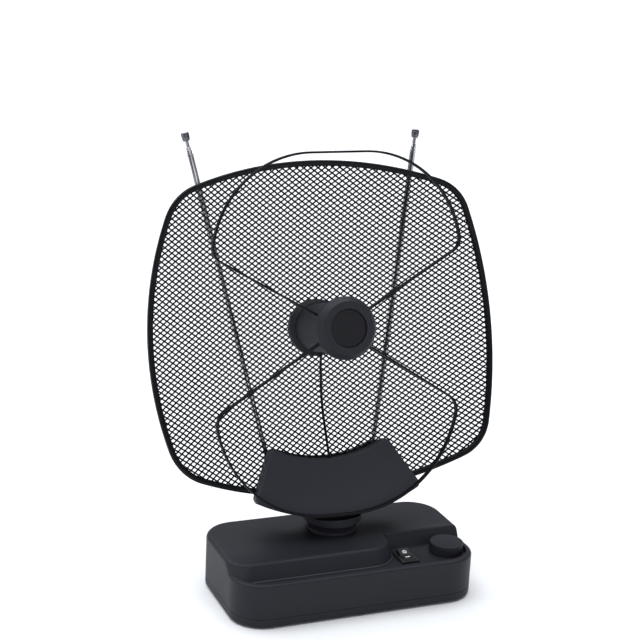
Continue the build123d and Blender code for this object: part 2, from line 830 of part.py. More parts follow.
with BuildPart() as retainer_screws:
    for radius, height in (
        (retainer_screw_head_r, -retainer_screw_head_h),
        (retainer_screw_r, retainer_t + retainer_screw_len / 2),
    ):
        with BuildSketch(Plane.XY.offset(spigot_z - retainer_t)):
            with Locations((0, swivel_y)):
                with PolarLocations(retainer_screw_at, 3):
                    Circle(radius)
        extrude(amount=height)
save(retainer_screws.part, "retainer_screws")

# Front cover: fan-shaped shell in front of the mesh
cover_wall_angle = degrees(wall / cover_in_r)
with BuildPart() as front_cover:
    add(sector(screen_t / 2 + mesh_gap, cover_lift, cover_in_r, cover_out_r, cover_half))
    fillet(front_cover.edges().filter_by(dish_axis), cover_corner_r)
    fillet(front_cover.faces().filter_by(GeomType.SPHERE).sort_by(dish_axis)[-1].edges(), cover_round)
    add(
        sector(0, cover_lift - wall, cover_in_r + wall, cover_out_r - wall, cover_half - cover_wall_angle),
        mode=Mode.SUBTRACT,
    )
    with BuildSketch(dish.offset(dish_height(boss_far, 3 * mesh_gap) + screen_t)):
        with Locations(*screw_places):
            Circle(cover_boss_r)
            Circle(cover_screw_r + screw_gap, mode=Mode.SUBTRACT)
    extrude(amount=cover_lift - 3 * mesh_gap - screen_t - wall / 2)
    down_dish = Plane(origin=dish.origin, x_dir=dish.x_dir, z_dir=-dish.y_dir)
    with BuildSketch(down_dish.offset(cover_in_r - wall)):
        with Locations((0, lead_points[3][1] + 0.5 * lead_r)):
            SlotOverall(2 * (lead_r + sit_gap) + 2 * lead_r, 2 * (lead_r + sit_gap), rotation=90)
    extrude(amount=3 * wall, mode=Mode.SUBTRACT)
    add(rim_channel, mode=Mode.SUBTRACT)
save(front_cover.part, "front_cover")

# Screws from the back of the holder into the front cover
with BuildPart() as cover_screws:
    for radius, height in (
        (cover_screw_head_r, cover_screw_head_h),
        (cover_screw_r, dish_height(boss_far, cover_lift - 2 * wall) - holder_back),
    ):
        with BuildSketch(dish.offset(holder_back)):
            with Locations(*screw_places):
                Circle(radius)
        extrude(amount=height)
save(cover_screws.part, "cover_screws")

# Small matching board on two posts inside the holder
with BuildPart() as matching_board:
    with BuildSketch(dish.offset(holder_back + wall + match_board_lift)):
        with Locations((0, match_board_v)):
            Rectangle(match_board_size[0], match_board_size[1])
    extrude(amount=match_board_size[2])
save(matching_board.part, "matching_board")

# Reflector rim
with BuildPart() as reflector_rim:
    add(rim_ring(0))
    fillet(reflector_rim.edges(), rim_round)
save(reflector_rim.part, "reflector_rim")

# Reflector screen: dished wall with diamond gaps between crossing strands
cell_side = sqrt(cell_w**2 + cell_h**2)
gap_half_w = cell_w / 2 - strand_w / 2 * cell_side / cell_h
gap_half_h = cell_h / 2 - strand_w / 2 * cell_side / cell_w
with BuildPart() as reflector_screen:
    with BuildSketch(section_at(0)):
        with BuildLine():
            dish_band(-screen_t / 2, screen_t / 2, 0, rim_half_w * 1.2)
        make_face()
    revolve(axis=dish_axis)
    with BuildSketch(dish.offset(-rim_w)) as screen_plan:
        rim_outline(rim_w)
        fillet(screen_plan.vertices(), rim_corner_r - rim_w)
    extrude(amount=rim_half_w, mode=Mode.INTERSECT)
    with BuildSketch(dish.offset(-rim_w)) as mesh_gaps:
        across = 2 * int(rim_half_w / cell_w) + 1
        up = 2 * int(rim_half_h / cell_h) + 1
        for shift_w, shift_h in ((0, 0), (cell_w / 2, cell_h / 2)):
            with Locations((shift_w, shift_h)):
                with GridLocations(cell_w, cell_h, across + 2, up + 2):
                    Polygon((gap_half_w, 0), (0, gap_half_h), (-gap_half_w, 0), (0, -gap_half_h))
        with BuildSketch(mode=Mode.INTERSECT) as mesh_field:
            rim_outline(rim_w + mesh_border)
            fillet(mesh_field.vertices(), rim_corner_r - rim_w - mesh_border)
        Circle(hub_plate_r, mode=Mode.SUBTRACT)
    wide_gaps = [face for face in mesh_gaps.sketch.faces() if face.area > gap_area_min]
    extrude(wide_gaps, amount=rim_half_w, mode=Mode.SUBTRACT)
    with BuildSketch(dish.offset(-rim_w)):
        Circle(hub_screw_r + screw_gap)
        with Locations(*screw_places):
            Circle(cover_screw_r + sit_gap)
    extrude(amount=rim_half_w, mode=Mode.SUBTRACT)
print("mesh gaps:", len(wide_gaps))
save(reflector_screen.part, "reflector_screen")


def turned(points, label):
    """A piece turned about the dish axis from its section."""
    with BuildPart() as piece:
        with BuildSketch(section_at(0)):
            with BuildLine():
                Polyline(*points, close=True)
            make_face()
        revolve(axis=dish_axis)
    piece.part.label = label
    return piece.part


# Loop geometry: both loops leave the hub in one leaning plane
loop_plane = Plane(
    origin=dish.origin + dish.z_dir * loop_n,
    x_dir=dish.x_dir,
    z_dir=dish.z_dir * cos(radians(loop_lean)) - dish.y_dir * sin(radians(loop_lean)),
)
lower_plane = Plane(
    origin=loop_plane.origin,
    x_dir=loop_plane.y_dir * sin(radians(lower_turn)) - loop_plane.x_dir * cos(radians(lower_turn)),
    z_dir=loop_plane.z_dir,
)


def loop_strip(plane, shape):
    """Strip on edge, bent to a crown, two shoulders, two corners and two radial legs."""
    crown_half, shoulder_y, shoulder_r, corner_r, slope = shape
    leg_cos = cos(radians(slope))
    leg_sin = sin(radians(slope))
    above_leg = shoulder_y * leg_cos - crown_half * leg_sin
    turn = slope + degrees(asin((corner_r - above_leg) / (shoulder_r - corner_r)))
    corner_x = crown_half + (shoulder_r - corner_r) * cos(radians(turn))
    corner_y = shoulder_y + (shoulder_r - corner_r) * sin(radians(turn))
    bend_x = corner_x + corner_r * leg_sin
    bend_y = corner_y - corner_r * leg_cos
    crown_y = shoulder_y + shoulder_r
    end_x = (drum_r - leg_inset) * leg_cos
    end_y = (drum_r - leg_inset) * leg_sin
    with BuildPart() as strip:
        with BuildLine(plane) as route:
            Line((-end_x, end_y), (-bend_x, bend_y))
            CenterArc((-corner_x, corner_y), corner_r, 180 - turn, 90 + turn - slope)
            CenterArc((-crown_half, shoulder_y), shoulder_r, 90, 90 - turn)
            Line((-crown_half, crown_y), (crown_half, crown_y))
            CenterArc((crown_half, shoulder_y), shoulder_r, turn, 90 - turn)
            CenterArc((corner_x, corner_y), corner_r, slope - 90, 90 + turn - slope)
            Line((bend_x, bend_y), (end_x, end_y))
        path = Wire.combine(route.edges())[0]
        with BuildSketch(Plane(origin=path @ 0, x_dir=plane.z_dir, z_dir=path % 0)):
            RectangleRounded(strip_w, strip_t, strip_round)
        sweep(path=path)
    return strip.part


upper_loop = loop_strip(loop_plane, upper_shape)
save(upper_loop, "upper_loop")
lower_loop = loop_strip(lower_plane, lower_shape)
save(lower_loop, "lower_loop")

# Feed lead along the middle of the dish
with BuildPart() as feed_lead:
    with BuildLine(section_at(-90)) as lead_route:
        FilletPolyline(*lead_points, radius=lead_bends)
    lead_path = lead_route.wires()[0]
    with BuildSketch(Plane(origin=lead_path @ 0, z_dir=lead_path % 0)):
        Circle(lead_r)
    sweep(path=lead_path)
save(feed_lead.part, "feed_lead")

# Hub body: rear flange and hollow drum, slotted for the loop legs, drilled for the lead
flange_front = hub_back + hub_flange_t
drum_inner_r = drum_r - drum_wall
with BuildPart() as hub_body:
    add(
        turned(
            [
                (hub_screw_r + screw_gap, hub_back),
                (hub_flange_r - wall / 4, hub_back),
                (hub_flange_r, hub_back + wall / 4),
                (hub_flange_r, flange_front),
                (drum_r + wall / 4, flange_front + hub_flange_bevel),
                (drum_r, flange_front + hub_flange_bevel),
                (drum_r, drum_front),
                (drum_inner_r, drum_front),
                (drum_inner_r, hub_back + drum_wall),
                (hub_boss_r, hub_back + drum_wall),
                (hub_boss_r, hub_back + hub_boss_h),
                (hub_screw_r + screw_gap, hub_back + hub_boss_h),
            ],
            "hub_body",
        )
    )
    for plane, slope in ((loop_plane, upper_shape[-1]), (lower_plane, lower_shape[-1])):
        for side in (-1, 1):
            leg_way = plane.x_dir * side * cos(radians(slope)) + plane.y_dir * sin(radians(slope))
            with BuildSketch(Plane(origin=plane.origin, x_dir=plane.z_dir, z_dir=leg_way).offset(hub_boss_r)):
                Rectangle(strip_w + 2 * screw_gap, strip_t + 2 * screw_gap)
            extrude(amount=2 * drum_r, mode=Mode.SUBTRACT)
    with BuildSketch(Plane(origin=lead_path @ 0, z_dir=lead_path % 0).offset(-2 * lead_r)):
        Circle(lead_r + sit_gap)
    extrude(amount=4 * drum_wall, mode=Mode.SUBTRACT)
save(hub_body.part, "hub_body")

# Front cap of the hub: bevelled flange with a recess and a plug into the drum
cap_back = drum_front
hub_front_cap = turned(
    [
        (0, cap_front - cap_recess),
        (cap_recess_r, cap_front - cap_recess),
        (cap_recess_r, cap_front),
        (cap_bevel_r, cap_front),
        (cap_r, cap_back + cap_back_bevel + cap_side),
        (cap_r, cap_back + cap_back_bevel),
        (cap_r - cap_back_bevel, cap_back),
        (drum_inner_r - screw_gap, cap_back),
        (drum_inner_r - screw_gap, cap_back - cap_plug_len),
        (drum_inner_r - wall, cap_back - cap_plug_len),
        (drum_inner_r - wall, cap_front - cap_recess - wall),
        (0, cap_front - cap_recess - wall),
    ],
    "hub_front_cap",
)
save(hub_front_cap, "hub_front_cap")

# Plain disc set in the recess of the cap
hub_disc = turned(
    [
        (0, cap_front - cap_recess),
        (disc_r, cap_front - cap_recess),
        (disc_r, cap_front - cap_recess + disc_t - wall / 8),
        (disc_r - wall / 8, cap_front - cap_recess + disc_t),
        (0, cap_front - cap_recess + disc_t),
    ],
    "hub_disc",
)
save(hub_disc, "hub_disc")

# Plate and screw behind the screen that hold the hub
plate_front = dish_height(backplate_r, -screen_t / 2) - backplate_r**2 / (2 * dish_r)
hub_backplate = turned(
    [
        (hub_screw_r + screw_gap, plate_front),
        (backplate_r, plate_front),
        (backplate_r, plate_front - backplate_t / 2),
        (backplate_r - backplate_t / 2, plate_front - backplate_t),
        (hub_screw_r + screw_gap, plate_front - backplate_t),
    ],
    "hub_backplate",
)
save(hub_backplate, "hub_backplate")
hub_screw = turned(
    [
        (0, plate_front - backplate_t - hub_screw_head_h),
        (hub_screw_head_r, plate_front - backplate_t - hub_screw_head_h),
        (hub_screw_head_r, plate_front - backplate_t),
        (hub_screw_r, plate_front - backplate_t),
        (hub_screw_r, plate_front - backplate_t + hub_screw_len),
        (0, plate_front - backplate_t + hub_screw_len),
    ],
    "hub_screw",
)
save(hub_screw, "hub_screw")

# Telescopic rods: an eye on the holder, three nested tubes and a tipped inner rod
for side, name, rod_lean in ((-1, "left", rod_leans[0]), (1, "right", rod_leans[1])):
    pivot = dish.from_local_coords((side * rod_u, rod_v, rod_n))
    rod_way = dish.y_dir * cos(radians(rod_lean)) + dish.x_dir * side * sin(radians(rod_lean))
    rod = Plane(origin=pivot, x_dir=dish.z_dir, z_dir=rod_way)
    eye_plane = Plane(origin=pivot, x_dir=dish.x_dir, z_dir=dish.z_dir)
    with BuildPart() as rod_eye:
        with BuildSketch(rod.offset(eye_r / 2)):
            Circle(eye_neck_r)
        extrude(amount=eye_neck_len - eye_r / 2)
        with BuildSketch(rod.offset(tube_start)):
            Circle(tube_outer_r + screw_gap / 5)
        extrude(amount=eye_neck_len, mode=Mode.SUBTRACT)
        with BuildSketch(eye_plane.offset(-eye_t / 2)):
            Circle(eye_r)
        extrude(amount=eye_t)
        with BuildSketch(eye_plane.offset(-eye_t)):
            Circle(pivot_r + run_gap)
        extrude(amount=2 * eye_t, mode=Mode.SUBTRACT)
    save(rod_eye.part, f"{name}_rod_eye")
    outer = tube_outer_r
    start = tube_start
    for number, step in enumerate(tube_steps, 1):
        with BuildPart() as tube:
            with BuildSketch(rod.offset(start)):
                Circle(outer)
                Circle(outer - tube_wall, mode=Mode.SUBTRACT)
            extrude(amount=rod_reach - step - start)
        save(tube.part, f"{name}_rod_tube_{number}")
        outer = outer - tube_wall - run_gap
        start = start + tube_inset
    with BuildPart() as tip_rod:
        with BuildSketch(rod.offset(start)):
            Circle(outer)
        extrude(amount=rod_reach - tip_len / 2 - start)
        with BuildSketch(Plane(origin=pivot, x_dir=dish.z_dir, z_dir=rod_way.cross(dish.z_dir) * -1)):
            with BuildLine():
                Polyline(
                    (0, rod_reach - tip_len),
                    (tip_foot_r, rod_reach - tip_len),
                    (tip_r, rod_reach - tip_len / 3),
                    (tip_r, rod_reach - tip_len / 8),
                    (tip_r - tip_len / 8, rod_reach),
                    (0, rod_reach),
                    close=True,
                )
            make_face()
        revolve(axis=Axis(pivot, rod_way))
    save(tip_rod.part, f"{name}_rod_tip")

# Pivot screws of the rods in the holder's bosses
with BuildPart() as rod_pivot_screws:
    pivot_back = rod_n - eye_t / 2 - sit_gap
    with BuildSketch(dish.offset(pivot_back)):
        with Locations(*rod_places):
            Circle(pivot_head_r)
    extrude(amount=-pivot_head_h)
    with BuildSketch(dish.offset(pivot_back)):
        with Locations(*rod_places):
            Circle(pivot_r)
    extrude(amount=pivot_len - eye_t / 2)
save(rod_pivot_screws.part, "rod_pivot_screws")
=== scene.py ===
import json

import bmesh
import bpy
import numpy as np
from mathutils import Matrix, Vector


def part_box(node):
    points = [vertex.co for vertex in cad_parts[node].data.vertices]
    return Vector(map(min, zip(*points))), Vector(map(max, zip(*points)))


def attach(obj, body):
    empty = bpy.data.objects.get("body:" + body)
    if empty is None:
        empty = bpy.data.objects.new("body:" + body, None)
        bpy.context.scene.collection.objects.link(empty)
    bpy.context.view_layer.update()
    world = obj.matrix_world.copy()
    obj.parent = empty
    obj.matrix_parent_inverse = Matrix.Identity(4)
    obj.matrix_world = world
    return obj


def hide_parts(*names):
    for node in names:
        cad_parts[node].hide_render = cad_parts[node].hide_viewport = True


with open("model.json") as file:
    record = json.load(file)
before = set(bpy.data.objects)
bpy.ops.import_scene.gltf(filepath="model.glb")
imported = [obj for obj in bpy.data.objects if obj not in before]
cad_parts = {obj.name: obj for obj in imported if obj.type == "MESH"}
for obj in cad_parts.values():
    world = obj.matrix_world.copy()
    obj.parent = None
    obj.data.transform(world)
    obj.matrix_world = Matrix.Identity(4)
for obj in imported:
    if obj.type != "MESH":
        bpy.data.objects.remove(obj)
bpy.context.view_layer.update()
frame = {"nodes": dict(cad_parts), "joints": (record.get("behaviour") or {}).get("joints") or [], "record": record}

NODES = frame["nodes"]
JOINTS = {joint["name"]: joint for joint in frame["joints"]}
SIDES = ("left", "right")
MM = 0.001
WELD = 1e-7

# Dish sizes shared with the solids, in metres
DISH_R = 400 * MM
DISC_HEIGHT = 76.1 * MM
RIM_HALF_W = 152.6 * MM
RIM_HALF_H = 138.6 * MM
RIM_SIDE_R = 300 * MM
RIM_SIDE_V = -10 * MM
RIM_TOP_R = 325 * MM
RIM_CORNER_R = 42 * MM
RIM_W = 4.8 * MM

# Expanded-metal mesh: a diamond's two diagonals, the strand's section, and the lattice's extent
CELL_W = 6.38 * MM
CELL_H = 4.49 * MM
STRAND_W = 1.36 * MM
STRAND_T = 0.7 * MM
KNUCKLE = 1.1
STRAND_SIDES = 6
LATTICE_SPARE = 2.2
MESH_REACH = 0.9 * DISH_R

# Rocker's hollow top, and the ring and bar on it
ROCKER_TILT = np.radians(13)
ROCKER_MID_H = 1.8 * MM
ROCKER_SLOPE = 0.6 / 8.3
MARK_AT = 3.3 * MM
MARK_T = 0.06 * MM
RING_IN_R = 0.9 * MM
RING_OUT_R = 1.9 * MM
RING_SIDES = 40
BAR_HALF_W = 0.55 * MM
BAR_HALF_LEN = 2.0 * MM
BAR_ROWS = 12

# Telescopic rods: reach from the pivot, tube ends back from it, collars and tips
ROD_REACH = 299.7 * MM
TUBE_STEPS = (18.5 * MM, 15.3 * MM, 12.7 * MM)
TUBE_R = (2.65 * MM, 2.26 * MM, 1.87 * MM)
COLLAR_LEN = 1.4 * MM
COLLAR_PROUD = 0.22 * MM
COLLAR_ROWS = 9
TIP_R = 3.4 * MM
TIP_FOOT_R = 2.35 * MM
TIP_WIDEST = 2.4 * MM
TIP_LEN = 7.2 * MM
TIP_CROWN = 0.5 * MM
TIP_ROWS = 16
TURNED_SIDES = 32

# Bead along the foot of the deck's front and nose, coloured as a painted highlight line, with the foot's plan
FOOT_Z = 33.0 * MM
FOOT_FRONT_Y = -39.3 * MM
FOOT_LEFT_X = -95.5 * MM
FOOT_NOSE_X = 14.5 * MM
FOOT_NOSE_R = 24.5 * MM
BEAD_R = 1.1 * MM
BEAD_TAPER = 9.0 * MM
BEAD_ROWS = 160
BEAD_SIDES = 12

# Smooth sleeve round the neck: heights over the deck, and radii at its foot, waist and top
DECK_Z = 45.5 * MM
SLEEVE_LOW = 0.9 * MM
SLEEVE_HIGH = 9.9 * MM
SLEEVE_FOOT_R = 21.3 * MM
SLEEVE_WAIST_R = 20.5 * MM
SLEEVE_TOP_R = 24.65 * MM
SLEEVE_WAIST = 0.26
SLEEVE_FLARE = 1.6
SLEEVE_T = 0.5 * MM
SLEEVE_ROWS = 24
SLEEVE_SIDES = 96

# Screw heads that show: their places, and the reach of each drive's arms
BASE_SCREW_X = 92 * MM
BASE_SCREW_Y = 42 * MM
COVER_SCREW_U = 24 * MM
COVER_SCREW_V = -119 * MM
BASE_DRIVE = 1.7 * MM
COVER_DRIVE = 1.6 * MM
PIVOT_DRIVE = 2.4 * MM
HUB_DRIVE = 2.3 * MM
RECESS_WEB = 0.22
RECESS_T = 0.03 * MM

# Finishes: pits per metre of plastic, radians per metre of thread, painted reflection stripes and edges of tone on
# rods
SPARK_GRAIN = 1100.0
FINE_GRAIN = 3000.0
THREAD_WAVE = 7900.0
REFLECTION_STREAK_PULL = 0.985
EDGE_SHARP = 20000.0

# Camera of the photograph
VIEW_AZIMUTH = np.radians(-22.607)
VIEW_ELEVATION = np.radians(16.025)
VIEW_ROLL = np.radians(2.770)
VIEW_TARGET = np.array((-27.04, 0.0, 232.95)) * MM
VIEW_DISTANCE = 1176.75 * MM
FOCAL_PIXELS = 1500.0
FRAME_PIXELS = 640.0
SENSOR = 36.0
CLIP_END = 100.0

# Floor and light
FLOOR_HALF = 30.0
FLOOR_DROP = 0.2 * MM
COOL_LIGHT = (0.94, 0.965, 1.0)
SURROUND = 0.25


# Shader maths

class Field:
    """A socket of a material's node tree; arithmetic on it adds Math nodes."""

    def __init__(self, finish, socket):
        self.finish = finish
        self.socket = socket

    def maths(self, operation, first, second):
        return self.finish.node("ShaderNodeMath", {"operation": operation}, {0: first, 1: second})

    def __add__(self, other):
        return self.maths("ADD", self, other)

    def __radd__(self, other):
        return self.maths("ADD", other, self)

    def __sub__(self, other):
        return self.maths("SUBTRACT", self, other)

    def __mul__(self, other):
        return self.maths("MULTIPLY", self, other)

    def __rmul__(self, other):
        return self.maths("MULTIPLY", other, self)


class Finish:
    """A material with one Principled shader, whose varying sockets are fed by fields."""

    def __init__(self, name, **constants):
        self.material = bpy.data.materials.new(name)
        self.material.use_nodes = True
        self.tree = self.material.node_tree
        self.shader = self.tree.nodes["Principled BSDF"]
        for socket, value in constants.items():
            self.shader.inputs[socket.replace("_", " ")].default_value = value

    def node(self, kind, settings, inputs, output=0):
        """Add a node: its settings first, then the values or links of its sockets."""
        made = self.tree.nodes.new(kind)
        for name, value in settings.items():
            if name == "stops":
                for stop, (place, colour) in zip(made.color_ramp.elements, value):
                    stop.position = place
                    stop.color = colour
            else:
                setattr(made, name, value)
        for name, value in inputs.items():
            self.join(made.inputs[name], value)
        return Field(self, made.outputs[output])

    def join(self, socket, value):
        if isinstance(value, Field):
            self.tree.links.new(value.socket, socket)
        else:
            socket.default_value = value

    def feed(self, **fields):
        for socket, value in fields.items():
            self.join(self.shader.inputs[socket.replace("_", " ")], value)
        return self

    def place(self):
        return self.node("ShaderNodeTexCoord", {}, {}, "Object")

    def noise(self, scale, detail=2.0, roughness=0.5, place=None):
        """Smooth noise from 0 to 1, with a number of lumps per metre."""
        return self.node(
            "ShaderNodeTexNoise", {},
            {"Vector": place or self.place(), "Scale": scale, "Detail": detail, "Roughness": roughness})

    def mix(self, factor, first, second):
        """Colour between two colours."""
        return self.node("ShaderNodeMix", {"data_type": "RGBA"}, {0: factor, 6: first, 7: second}, 2)

    def ramp(self, factor, *stops):
        """Colour from two stops, each a place from 0 to 1 and a colour."""
        return self.node("ShaderNodeValToRGB", {"stops": stops}, {0: factor})

    def run(self, way):
        """Distance of the object place along a way."""
        return self.node(
            "ShaderNodeVectorMath", {"operation": "DOT_PRODUCT"}, {0: self.place(), 1: way}, "Value")

    def stretched(self, way):
        """Object place with nearly all of its run along a way taken out, for painted reflection stripes along it.
        """
        pulled = self.node(
            "ShaderNodeVectorMath", {"operation": "SCALE"}, {0: way, "Scale": self.run(way) * REFLECTION_STREAK_PULL})
        return self.node("ShaderNodeVectorMath", {"operation": "SUBTRACT"}, {0: self.place(), 1: pulled})

    def bump(self, height, strength, distance):
        return self.node(
            "ShaderNodeBump", {}, {"Height": height, "Strength": strength, "Distance": distance})


def rgb(red, green, blue):
    return (red, green, blue, 1.0)


def rod_line(name):
    """Pivot of a rod, and the way along which its stages slide."""
    pivot = np.array(JOINTS[f"{name}_rod_swing"]["pos_m"], float)
    way = np.array(JOINTS[f"{name}_slide_1"]["axis"], float)
    return pivot, way


def moulded_plastic(name, dark, light, rough, grain):
    """Spark-textured moulded plastic: fine grain, with faint patches of shine and tone."""
    finish = Finish(name, Specular_IOR_Level=0.2)
    patches = finish.noise(28.0, detail=4.0, roughness=0.6)
    pits = finish.noise(grain, detail=3.0, roughness=0.7)
    return finish.feed(
        Base_Color=finish.mix(0.4 * patches + 1.6 * pits - 0.5, dark, light),
        Roughness=rough - 0.07 + 0.1 * patches + 0.06 * pits,
        Normal=finish.bump(pits, strength=0.5, distance=0.3 * MM),
    ).material


def switch_gloss():
    """Glossy black switch plastic with faint hand marks."""
    finish = Finish("switch_gloss", Specular_IOR_Level=0.5)
    smears = finish.noise(160.0, detail=4.0, roughness=0.65)
    return finish.feed(
        Base_Color=finish.mix(smears, rgb(0.008, 0.008, 0.009), rgb(0.016, 0.016, 0.018)),
        Roughness=0.2 + 0.16 * smears,
    ).material


def dipped_wire(name, rough):
    """Black dip coating on steel wire: satin, with slight runs in the film."""
    finish = Finish(name, Specular_IOR_Level=0.12)
    runs = finish.noise(420.0, detail=3.0, roughness=0.6)
    return finish.feed(
        Base_Color=finish.mix(runs, rgb(0.003, 0.003, 0.004), rgb(0.007, 0.007, 0.009)),
        Roughness=rough + 0.14 * runs,
        Normal=finish.bump(runs, strength=0.25, distance=0.1 * MM),
    ).material


def polished_chrome():
    """Turned and plated metal with fine marks and a little haze."""
    finish = Finish("polished_chrome", Metallic=1.0)
    haze = finish.noise(90.0, detail=3.0, roughness=0.6)
    marks = finish.noise(1300.0)
    return finish.feed(
        Base_Color=finish.mix(2.0 * marks - 0.5, rgb(0.55, 0.55, 0.58), rgb(0.72, 0.72, 0.75)),
        Roughness=0.12 + 0.1 * haze + 0.06 * marks,
    ).material


def painted_streak_chrome(name):
    """Drawn and plated tube: metal whose colour holds painted reflections, dark and light stripes along the tube.
    """
    way = tuple(rod_line(name)[1].tolist())
    finish = Finish(f"{name}_painted_streak_chrome", Metallic=1.0)
    reflection_streaks = finish.noise(520.0, place=finish.stretched(way))
    haze = finish.noise(90.0, detail=3.0, roughness=0.6)
    return finish.feed(
        # Painted reflection: dark and light stripes in the base colour stand in for the surroundings mirrored in
        # the tube
        Base_Color=finish.ramp(reflection_streaks, (0.42, rgb(0.16, 0.16, 0.18)), (0.54, rgb(0.88, 0.88, 0.91))),
        Roughness=0.14 + 0.12 * haze,
    ).material


def tipped_chrome(name):
    """Bright rod under a dark turned tip with a light crown: tone by the distance along the rod."""
    pivot, way = rod_line(name)
    end = float(pivot @ way) + ROD_REACH
    finish = Finish(f"{name}_tipped_chrome", Metallic=1.0)
    run = finish.run(tuple(way.tolist()))
    marks = finish.noise(1300.0)
    barrel = finish.mix(2.0 * marks - 0.5, rgb(0.04, 0.04, 0.048), rgb(0.2, 0.2, 0.225))
    tip = finish.mix((run - (end - TIP_CROWN)) * EDGE_SHARP, barrel, rgb(0.26, 0.26, 0.28))
    return finish.feed(
        Base_Color=finish.mix((run - (end - TIP_LEN)) * EDGE_SHARP, rgb(0.4, 0.4, 0.43), tip),
        Roughness=0.2 + 0.1 * marks,
    ).material


def plated_steel(name, dark, light, rough):
    """Zinc-plated steel with cloudy patches."""
    finish = Finish(name, Metallic=1.0)
    cloud = finish.noise(240.0, detail=4.0, roughness=0.65)
    return finish.feed(
        Base_Color=finish.mix(cloud, dark, light),
        Roughness=rough + 0.2 * cloud,
        Normal=finish.bump(cloud, strength=0.15, distance=0.1 * MM),
    ).material


def nickel_thread():
    """Nickel-plated brass with turned thread rings along the barrel."""
    finish = Finish("nickel_thread", Metallic=1.0)
    along = finish.node("ShaderNodeSeparateXYZ", {}, {0: finish.place()}, "Y")
    rings = finish.node("ShaderNodeMath", {"operation": "SINE"}, {0: along * THREAD_WAVE})
    tint = finish.noise(300.0, detail=3.0, roughness=0.6)
    return finish.feed(
        Base_Color=finish.mix(tint, rgb(0.5, 0.47, 0.4), rgb(0.68, 0.65, 0.58)),
        Roughness=0.22 + 0.18 * tint,
        Normal=finish.bump(rings, strength=0.5, distance=0.3 * MM),
    ).material


def foot_rubber():
    """Dull black rubber with a fine rough skin."""
    finish = Finish("foot_rubber")
    skin = finish.noise(1500.0, detail=4.0, roughness=0.7)
    return finish.feed(
        Base_Color=finish.mix(skin, rgb(0.01, 0.01, 0.01), rgb(0.025, 0.025, 0.025)),
        Roughness=0.75 + 0.2 * skin,
        Normal=finish.bump(skin, strength=0.4, distance=0.2 * MM),
    ).material


def lacquered_board():
    """Green lacquered circuit board with darker copper-free areas."""
    finish = Finish("lacquered_board")
    tracks = finish.noise(180.0, detail=1.0, roughness=0.4)
    return finish.feed(
        Base_Color=finish.ramp(tracks, (0.46, rgb(0.012, 0.09, 0.03)), (0.54, rgb(0.03, 0.2, 0.06))),
        Roughness=0.3 + 0.2 * tracks,
    ).material


def mark_ink():
    """White printed ink with a slightly uneven film."""
    finish = Finish("mark_ink")
    film = finish.noise(2500.0, detail=3.0, roughness=0.6)
    return finish.feed(
        Base_Color=finish.mix(film, rgb(0.78, 0.78, 0.76), rgb(0.9, 0.9, 0.88)),
        Roughness=0.5 + 0.15 * film,
    ).material


def drive_shadow():
    """Painted shade for the inside of a screw's drive, with worn plating."""
    finish = Finish("drive_shadow", Metallic=0.6)
    worn = finish.noise(1800.0, detail=3.0, roughness=0.6)
    return finish.feed(
        Base_Color=finish.mix(worn, rgb(0.012, 0.012, 0.013), rgb(0.05, 0.05, 0.052)),
        Roughness=0.55 + 0.2 * worn,
    ).material


def pale_floor():
    """Plain pale studio floor."""
    finish = Finish("pale_floor", Specular_IOR_Level=0.1, Roughness=0.9)
    tone = finish.noise(3.0)
    return finish.feed(Base_Color=finish.mix(tone, rgb(0.88, 0.88, 0.88), rgb(0.9, 0.9, 0.9))).material


# Surfaces

def surface(name, points, wrap_rows, wrap_columns, keep=None):
    """Mesh of quads over a grid of points; each direction may close on itself."""
    rows, columns = points.shape[:2]
    index = np.arange(rows * columns).reshape(rows, columns)
    down = np.roll(index, -1, 0)
    across = np.roll(index, -1, 1)
    both = np.roll(down, -1, 1)
    quads = np.stack([index, across, both, down], -1)
    if not wrap_rows:
        quads = quads[:-1]
    if not wrap_columns:
        quads = quads[:, :-1]
    if keep is not None:
        quads = quads[keep]
    used, quads = np.unique(quads.reshape(-1, 4), return_inverse=True)
    mesh = bpy.data.meshes.new(name)
    mesh.from_pydata(points.reshape(-1, 3)[used].tolist(), [], quads.reshape(-1, 4).tolist())
    mesh.polygons.foreach_set("use_smooth", np.ones(len(mesh.polygons), bool))
    mesh.update()
    piece = bpy.data.objects.new(name, mesh)
    bpy.context.scene.collection.objects.link(piece)
    return piece


def welded(piece):
    """Join the points that a pole or a seam brings together."""
    shell = bmesh.new()
    shell.from_mesh(piece.data)
    bmesh.ops.remove_doubles(shell, verts=shell.verts, dist=WELD)
    shell.to_mesh(piece.data)
    shell.free()
    return piece


def finished(piece, body, material):
    """Give a new piece its body and its material."""
    piece.data.materials.append(material)
    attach(piece, body)
    return piece


def middle(node):
    """Middle of a node's box."""
    low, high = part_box(node)
    return (np.array(low) + np.array(high)) / 2


# Frame of the dish: its normal, its level way and its rising way, and its lowest point
EN = np.array(JOINTS["left_rod_swing"]["axis"], float)
EN /= np.linalg.norm(EN)
EU = np.array((1.0, 0.0, 0.0))
EV = np.cross(EN, EU)
DISH_O = middle("hub_disc") - DISC_HEIGHT * EN
DISH_O[0] = 0.0


def on_dish(u, v, lift):
    """Point over the dish: the sphere's height at (u, v), lifted along its normal."""
    radius = DISH_R - lift
    shrink = radius / DISH_R
    height = DISH_R - np.sqrt(radius**2 - (u * shrink) ** 2 - (v * shrink) ** 2)
    return (
        DISH_O
        + (u * shrink)[..., None] * EU
        + (v * shrink)[..., None] * EV
        + height[..., None] * EN
    )


def crossing(first, second):
    """Right-hand point where two circles (x, y, radius) cross, from their centres' distance."""
    start = np.array(first[:2])
    step = np.array(second[:2]) - start
    apart = np.linalg.norm(step)
    step /= apart
    along = (apart**2 + first[2] ** 2 - second[2] ** 2) / (2 * apart)
    aside = np.sqrt(first[2] ** 2 - along**2) * np.array((-step[1], step[0]))
    return start + along * step + aside * np.sign(aside[0])


